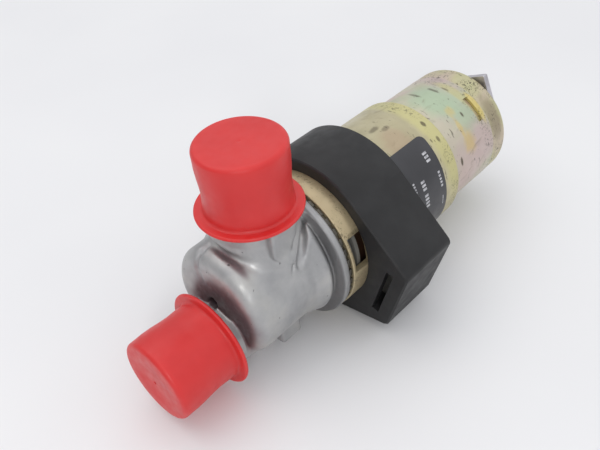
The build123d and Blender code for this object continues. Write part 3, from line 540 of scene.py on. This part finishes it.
rubber = moulded_plastic("black_rubber", (0.02, 0.02, 0.02), 0.65, 0.03)
black = moulded_plastic("black_plastic", (0.018, 0.018, 0.0185), 0.5, 0.025, 0.3)
natural = moulded_plastic("natural_plastic", (0.16, 0.155, 0.14), 0.5, 0.02)
insulation = moulded_plastic("lead_insulation", (0.03, 0.03, 0.03), 0.5, 0.02)
label_film = moulded_plastic("label_film", (0.032, 0.032, 0.036), 0.34, 0.01)
ink = printed_ink()
red = red_polyethylene()

cad_finishes = {
    "lock_ring": lock_metal, "can_shell": can_finish, "rear_can": rear_finish, "end_cap": end_finish,
    "bonnet_plate": plated, "front_pole_plate": plated, "dished_washer": plated,
    "rear_yoke_plate": plated, "rear_bracket": bracket_metal, "spring_seat": plated, "rod_clip": plated,
    "disc_retainer": plated, "pole_core": iron, "plunger": iron, "return_spring": spring_steel,
    "push_rod": spring_steel, "seat_ring": brass, "guide_tube": brass, "disc_holder": brass,
    "rod_bush": brass, "terminal_blades": tinned, "coil_winding": copper, "disc_seal": rubber,
    "flange_o_ring": rubber, "rod_seal": rubber, "collar_housing": black, "collar_cover": black,
    "coil_bobbin": natural, "terminal_carrier": natural, "lead_wires": insulation,
    "type_label": label_film,
}
edge_radius = {"collar_housing": 0.25, "collar_cover": 0.3, "can_shell": 0.3, "rear_can": 0.2,
               "rear_bracket": 0.35, "lock_ring": 0.12, "terminal_blades": 0.15}
for node_name, finish in cad_finishes.items():
    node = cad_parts[node_name]
    node.data.materials.clear()
    node.data.materials.append(finish)
    if node_name in edge_radius:
        weld = node.modifiers.new("weld", "WELD")
        weld.merge_threshold = 0.001 * MM
        bevel = node.modifiers.new("edges", "BEVEL")
        bevel.width = edge_radius[node_name] * MM
        bevel.segments = 2
        bevel.limit_method = "ANGLE"
        bevel.angle_limit = math.radians(40)
        bevel.harden_normals = True


# ---------------------------------------------------------------- cast body
flange_radius = 25.4
stub_radius = 11.4
bead_radius = 12.6
bead_rounding = 2.15
bead_half_length = 1.6
bead_setback = 2.2
tip_rounding = 0.4
bore_radius = 7.8
neck_end = front_mouth + 0.3
neck_half_flat = 10.0
inside_block = -10.0
chamber_radius = 15.5
chamber_floor = -8.0
seat_pocket_radius = 9.55
seat_pocket_floor = -10.0
passage_end = -14.0
link_end = -10.5
beyond_flange = 99.0
boss_end = -9.4
groove_radius = 19.0
groove_half_width = 1.3
groove_depth = 2.0
face_hole_radius = 2.0
face_hole_depth = 3.2
face_hole_y, face_hole_z = 1.0, 1.3
foot_half_length = 4.6
foot_half_width = 12.0


def stub_outline(shoulder, tip):
    """Outline of a beaded hose stub as (radius, height), its tip slightly rounded."""
    bead_end = tip - bead_setback
    bead_centre = (bead_radius - bead_rounding, bead_end - bead_half_length)
    bead = arc(bead_centre, bead_rounding, -48, 48)
    end = [(stub_radius, bead_end), (stub_radius, tip - tip_rounding)]
    end += [(stub_radius - tip_rounding, tip), (0, tip)]
    return [(0, shoulder), (stub_radius, shoulder)] + bead + end


turned_round = 0.5
turned = (
    [(block_front + 0.5, 0.0), (block_front + 0.5, 8.0), (block_front + 0.6, 11.5)]
    + arc((block_front + 5.2, 14.9), 4.6, 176, 90, 8)
    + [(block_front + 10.0, 19.5)]
    + [(1.0, 19.5), (5.0, 19.9), (8.6, 21.1), (10.3, 21.75), (10.9, 21.6), (11.4, 21.1)]
    + arc((12.6, 22.5), 1.7, 225, 290, 5)
    + [(13.9, 24.9), (flange_face - turned_round, flange_radius - turned_round)]
    + [(flange_face - turned_round, 0.0)]
)
side_lathe = [(0, 0), (15.9, 0), (15.9, 15.0), (15.2, 17.4), (14.3, 20.0), (13.7, 23.0),
              (13.6, side_mouth - 0.3), (0, side_mouth - 0.3)]
side_stub = stub_outline(0.0, side_tip)
front_stub = stub_outline(0.0, block_front - front_tip)
# Tongue on each flank of the side neck, seen from the side: (x, height)
tongue = [(-5.4, side_mouth - 0.9), (-5.5, 19.6), (-4.9, 18.3), (-3.8, 17.6), (-1.2, 17.4), (0.4, 18.4),
          (3.4, 23.0), (4.1, side_mouth - 0.9)]
# Grooves in the casting as points (x, y, height from the solenoid axis)
crease_route = [(-12.9, 7.0, 20.1), (-14.2, 1.0, 20.7), (-14.2, -4.0, 20.3), (-12.9, -8.4, 19.3),
                (-10.6, -12.2, 19.2)]
flank_route = [(10.2, -10.6, 19.4), (8.2, -13.2, 17.9), (5.2, -15.6, 15.5), (2.2, -17.5, 12.9)]
crack_route = [(0.9, -15.6, 15.6), (-0.4, -16.9, 13.4), (-1.9, -18.2, 11.6)]
face_route = [(-14.4, 5.6, 19.6), (-17.6, 6.0, 17.6), (-20.2, 5.8, 13.0), (-20.8, 4.6, 9.0)]


def hollow_distance(x, y, z):
    """Distance to the chamber, seat pocket, passage, port bores, O-ring groove and blind face hole."""
    from_axis = np.hypot(y, z)
    hollows = np.maximum(from_axis - chamber_radius, slab(x, chamber_floor, beyond_flange))
    seat_pocket = np.maximum(from_axis - seat_pocket_radius, slab(x, seat_pocket_floor, chamber_floor))
    hollows = np.minimum(hollows, seat_pocket)
    passage = np.maximum(from_axis - bore_radius, slab(x, passage_end, seat_pocket_floor))
    hollows = np.minimum(hollows, passage)
    link = np.hypot(y, np.maximum(z, 0.0) + np.minimum(z - front_port_z, 0.0)) - bore_radius
    hollows = np.minimum(hollows, np.maximum(link, slab(x, passage_end, link_end)))
    front_bore = np.hypot(y, z - front_port_z) - bore_radius
    hollows = np.minimum(hollows, np.maximum(front_bore, x - passage_end))
    hollows = np.minimum(hollows, np.maximum(np.hypot(x, y) - bore_radius, -z))
    groove = np.maximum(np.abs(from_axis - groove_radius) - groove_half_width, flange_face - groove_depth - x)
    hollows = np.minimum(hollows, groove)
    face_hole = np.hypot(y - face_hole_y, z - face_hole_z) - face_hole_radius
    return np.minimum(hollows, np.maximum(face_hole, x - block_front - face_hole_depth))


def cast_distance(points):
    """Distance to the cast body, millimetres, with soft foundry fillets."""
    x, y, z = points[:, 0], points[:, 1], points[:, 2] - axis_z
    from_axis = np.hypot(y, z)
    local = np.stack([x, y, z], -1)
    shape = outline_distance(x, from_axis, turned) - turned_round
    front_rise = z - front_port_z
    from_front = np.hypot(y, front_rise)
    boss = rounded_meet(from_front - bead_radius, slab(x, block_front + 0.6, boss_end), 1.2)
    shape = smooth_join(shape, boss, 2.0)
    from_side = np.hypot(x, y)
    neck = outline_distance(from_side, z, side_lathe)
    # The flare meets the block in a crease in front, and in a soft sweep on the flanks
    sweep = np.clip((x + 12.0) / 9.0, 0.0, 1.0)
    shape = smooth_join(shape, neck, 1.0 + 6.0 * sweep * sweep * (3 - 2 * sweep))
    shape = smooth_cut(shape, path_distance(local, crease_route, 0.9), 1.0)
    shape = smooth_cut(shape, path_distance(local, face_route, 0.8), 1.6)
    mirrored = np.stack([x, -np.abs(y), z], -1)
    shape = smooth_cut(shape, path_distance(mirrored, flank_route, 1.2), 1.8)
    shape = smooth_cut(shape, path_distance(mirrored, crack_route, 0.45), 0.4)
    # Tongues on both flanks of the side neck
    rib = rounded_meet(outline_distance(x, z, tongue) - 0.6, np.abs(y) - 15.5, 0.7)
    shape = smooth_join(shape, rib, 0.7)
    # Foot pad
    foot = rounded_meet(slab(x, -foot_half_length, foot_half_length), np.abs(y) - foot_half_width, 1.4)
    foot = rounded_meet(foot, slab(z, -axis_z, -10.0), 0.5)
    shape = smooth_join(shape, foot, 1.6)
    shape = shape - 0.05 * unevenness(local, 7.0, 3)
    # Front neck with two flats, and the beaded stubs
    front_neck = rounded_meet(from_front - bead_radius, np.abs(front_rise) - neck_half_flat, 0.35)
    front_neck = rounded_meet(front_neck, slab(x, neck_end, inside_block), 0.4)
    shape = smooth_join(shape, front_neck, 0.7)
    shape = smooth_join(shape, outline_distance(from_front, block_front - x, front_stub), 0.6)
    shape = smooth_join(shape, outline_distance(from_side, z, side_stub), 0.6)
    hollows = hollow_distance(x, y, z)
    shape = smooth_cut(shape, hollows, 0.3)
    return np.maximum(shape, np.maximum(x - flange_face, -axis_z - z))


cast_pitch = 0.55
cast_points, cast_faces = skin_of(cast_distance, body_low, body_high, cast_pitch)
make_piece("cast_body", cast_points, cast_faces, "valve", aluminium, ["valve_body"])


# ---------------------------------------------------------------- port caps
def cap_profile(gate_depth):
    """Closed profile of a cap as (radius, height) from its mouth, with a gate mark on its end."""
    cap_clearance, wall, end_wall = 0.35, 1.2, 1.4
    mouth_radius = bead_radius + cap_clearance
    neck_radius = mouth_radius + wall
    swell_radius, swell_height = neck_radius + 0.3, cap_height - 5.925
    end_radius = swell_radius - 1.65
    flange = arc((cap_flange_radius - 0.55, 0.55), 0.55, -90, 0, 4)
    flange += arc((cap_flange_radius - 0.55, 0.75), 0.55, 0, 90, 4)
    root = arc((neck_radius + 1.0, 2.2), 1.0, -90, -180, 5)
    wall_line = [(neck_radius - 0.05, 5.0), (neck_radius - 0.25, 8.5), (neck_radius - 0.15, 11.0)]
    wall_line += [(swell_radius - 0.15, 14.5), (swell_radius, swell_height)]
    wall_line += [(swell_radius - 0.06, cap_height - 3.4)]
    edge = arc((end_radius, cap_height - 1.6), 1.6, 8, 90, 8)
    gate = [(8.0, cap_height), (7.5, cap_height - 0.25 * gate_depth), (1.0, cap_height - 0.25 * gate_depth)]
    gate += [(0.6, cap_height - 0.35 * gate_depth), (0.45, cap_height - gate_depth)]
    gate += [(0.0, cap_height - gate_depth)]
    inner_top = cap_height - end_wall
    inside = [(0.0, inner_top), (end_radius - wall, inner_top), (swell_radius - wall - 0.2, inner_top - 1.6)]
    inside += [(swell_radius - wall, swell_height), (mouth_radius, 11.85)]
    inside += [(mouth_radius, 0.3), (mouth_radius + 0.3, 0.0)]
    return flange + root + wall_line + edge + gate + inside


def cap_wobble(phase):
    """Slight squeeze of the thin wall, strongest half way up and none at the flange or end."""
    def wobble(angle, height):
        belly = math.sin(math.pi * min(max(height - 3.0, 0.0) / (cap_height - 5.0), 1.0))
        return 0.13 * belly * (math.sin(2 * angle + phase) + 0.6 * math.sin(3 * angle + 2 * phase))
    return wobble


cap_places = {
    "side": ((0, 0, side_cap_low.z), (0, 0, 1), 0.6, 0.12),
    "front": ((front_mouth, 0, axis_z + front_port_z), (-1, 0, 0), 2.3, 0.8),
}
for side_name, (mouth, way, phase, gate_depth) in cap_places.items():
    cap_points, cap_faces = lathe(cap_profile(gate_depth), mouth, way, 128, cap_wobble(phase))
    cap = make_piece(side_name + "_cap_shell", cap_points, cap_faces, side_name + "_cap", red,
                     [side_name + "_port_cap"])
    close_poles(cap)
    crease_edges(cap, 50)

# ---------------------------------------------------------------- end nut and threaded stud
thread_pitch = 1.25
thread_depth = 0.5
nut_half_width = 6.5
nut_corner_radius = 7.1
nut_chamfer = 0.7
nut_bore_radius = 4.02
stud_radius = 3.98
plate_radius, plate_thickness = 8.8, 2.5
slot_half_width, slot_depth = 0.6, 1.4


def nut_distance(points):
    """Hexagon nut with both faces chamfered and a plain bore."""
    x, y, z = points[:, 0], points[:, 1], points[:, 2] - axis_z
    hexagon = np.full(len(points), -np.inf)
    for n in range(6):
        angle = math.radians(60 * n + 30)
        hexagon = np.maximum(hexagon, y * math.cos(angle) + z * math.sin(angle) - nut_half_width)
    from_axis = np.hypot(y, z)
    ends = slab(x, nut_low.x, nut_high.x)
    from_face = np.maximum(x - nut_high.x + nut_chamfer, nut_low.x + nut_chamfer - x)
    chamfer = (from_axis - nut_corner_radius + from_face * 1.7) * 0.5
    shape = np.maximum(rounded_meet(hexagon, ends, 0.15), chamfer)
    return np.maximum(shape, nut_bore_radius - from_axis)


def stud_distance(points):
    """Spring adjuster: a plate in the rear can and a threaded stud through the end cap."""
    x, y, z = points[:, 0], points[:, 1], points[:, 2] - axis_z
    from_axis = np.hypot(y, z)
    plate = rounded_meet(from_axis - plate_radius, slab(x, stud_low.x, stud_low.x + plate_thickness), 0.3)
    turn = np.arctan2(z, y) / (2 * math.pi)
    tooth = np.abs((x / thread_pitch - turn) % 1.0 - 0.5) * 2
    threaded = np.clip((x - end_cap_high.x + 4.0) / 1.0, 0.0, 1.0)
    root = from_axis - stud_radius + thread_depth * (1 - tooth) * threaded
    stud = rounded_meet(root, slab(x, stud_low.x, stud_high.x), 0.4)
    slot_cut = np.maximum(np.abs(z) - slot_half_width, stud_high.x - slot_depth - x)
    return np.maximum(np.minimum(plate, stud * 0.8), -slot_cut)


fine_pitch = 0.22
nut_points, nut_faces = skin_of(nut_distance, nut_low, nut_high, fine_pitch)
make_piece("hex_nut", nut_points, nut_faces, "valve", plated, ["end_nut"])
stud_points, stud_faces = skin_of(stud_distance, stud_low, stud_high, fine_pitch)
make_piece("threaded_stud", stud_points, stud_faces, "valve", plated, ["spring_adjuster"])

# ---------------------------------------------------------------- printed bars on the label
# Rows of short plain bars in place of print, on the label's face: place along the axis, start and
# end azimuth, height of the bars and how many there are
bar_rows = [
    (66.2, 133.5, 143.5, 2.1, 3), (68.3, 153.5, 168.5, 1.1, 5), (59.2, 151.5, 161.0, 2.0, 3),
    (59.2, 163.5, 176.5, 2.0, 4), (54.7, 148.5, 160.5, 0.9, 5), (68.3, 176.0, 190.0, 0.35, 1),
]
ink_radius = 25.385


def curved_bar(place, start, end, height):
    """Thin closed patch that follows the label's face."""
    steps = 4
    points, faces = [], []
    for s in range(steps + 1):
        angle = math.radians(start + (end - start) * s / steps)
        for radius in (ink_radius - 0.05, ink_radius):
            for x in (place - height / 2, place + height / 2):
                points.append((x, radius * math.cos(angle), axis_z + radius * math.sin(angle)))
    for s in range(steps):
        a, b = 4 * s, 4 * s + 4
        faces += [(a + 2, a + 3, b + 3, b + 2), (a, b, b + 1, a + 1)]
        faces += [(a, a + 2, b + 2, b), (a + 1, b + 1, b + 3, a + 3)]
    last = 4 * steps
    faces += [(0, 1, 3, 2), (last, last + 2, last + 3, last + 1)]
    return points, faces


bar_points, bar_faces = [], []
for place, start, end, height, count in bar_rows:
    pitch = (end - start) / count
    for n in range(count):
        points, faces = curved_bar(place, start + n * pitch, start + (n + 0.62) * pitch, height)
        bar_faces += [tuple(i + len(bar_points) for i in face) for face in faces]
        bar_points += points
bars = make_piece("label_bars", bar_points, bar_faces, "valve", ink)
crease_edges(bars, 40)

# ---------------------------------------------------------------- floor, light and camera
floor_height = collar_low.z
floor_size = 6000.0
floor_mesh = bpy.data.meshes.new("floor")
half = floor_size / 2
floor_mesh.from_pydata(
    [Vector((sx * half, sy * half, floor_height)) * MM for sx, sy in ((-1, -1), (1, -1), (1, 1), (-1, 1))],
    [], [(0, 1, 2, 3)])
floor = bpy.data.objects.new("floor", floor_mesh)
bpy.context.scene.collection.objects.link(floor)
paper = Finish("floor_paper", 0.0, 0.6, (0.8, 0.8, 0.81))
paper_tones = (0.3, (0.79, 0.79, 0.8)), (0.7, (0.82, 0.82, 0.825))
paper.set("Base Color", paper.ramp(paper.noise(120.0, 2.0), *paper_tones))
floor_mesh.materials.append(paper.material)

world = bpy.data.worlds.new("studio")
bpy.context.scene.world = world
world.use_nodes = True
sky = world.node_tree.nodes
sky_place = sky.new("ShaderNodeTexCoord")
sky_tilt = sky.new("ShaderNodeVectorMath")
sky_tilt.operation = "DOT_PRODUCT"
sky_tilt.inputs[1].default_value = (0.35, -0.1, 0.93)
sky_fade = sky.new("ShaderNodeValToRGB")
sky_fade.color_ramp.elements[0].position = 0.0
sky_fade.color_ramp.elements[0].color = (0.4, 0.4, 0.41, 1.0)
sky_fade.color_ramp.elements[1].position = 0.75
sky_fade.color_ramp.elements[1].color = (0.96, 0.97, 1.0, 1.0)
world.node_tree.links.new(sky_place.outputs["Generated"], sky_tilt.inputs[0])
world.node_tree.links.new(sky_tilt.outputs["Value"], sky_fade.inputs[0])
world.node_tree.links.new(sky_fade.outputs[0], sky["Background"].inputs["Color"])
sky["Background"].inputs["Strength"].default_value = 1.02


def add_light(name, place, aim, size, power, colour=(1.0, 1.0, 1.0)):
    """Square area light at a place in millimetres, turned to an aim point."""
    data = bpy.data.lights.new(name, "AREA")
    data.shape = "SQUARE"
    data.size = size * MM
    data.energy = power
    data.color = colour
    light = bpy.data.objects.new(name, data)
    light.location = Vector(place) * MM
    light.rotation_mode = "QUATERNION"
    light.rotation_quaternion = (Vector(aim) - Vector(place)).to_track_quat("-Z", "Y")
    bpy.context.scene.collection.objects.link(light)


centre = (cad_box[0] + cad_box[1]) / (2 * MM)
add_light("key_light", (centre.x - 250, centre.y + 500, 1350), centre, 1200, 4.0, (1.0, 0.985, 0.96))
add_light("lamp_near_camera", (-460, -440, 400), (-16, -10, 36), 130, 1.0)

camera_data = bpy.data.cameras.new("camera")
camera = bpy.data.objects.new("camera", camera_data)
bpy.context.scene.collection.objects.link(camera)
bpy.context.scene.camera = camera
view_way = Vector((0.51696, 0.55898, -0.64830))
view_roll = math.radians(-6.3)
camera.location = Vector((-102.2, -132.1, 183.8)) * MM
camera.rotation_mode = "QUATERNION"
roll_turn = Matrix.Rotation(view_roll, 3, "Z").to_quaternion()
camera.rotation_quaternion = view_way.to_track_quat("-Z", "Y") @ roll_turn
camera_data.lens = 41.56
camera_data.clip_start = 0.01
camera_data.clip_end = 20.0
bpy.context.scene.view_settings.view_transform = "Standard"
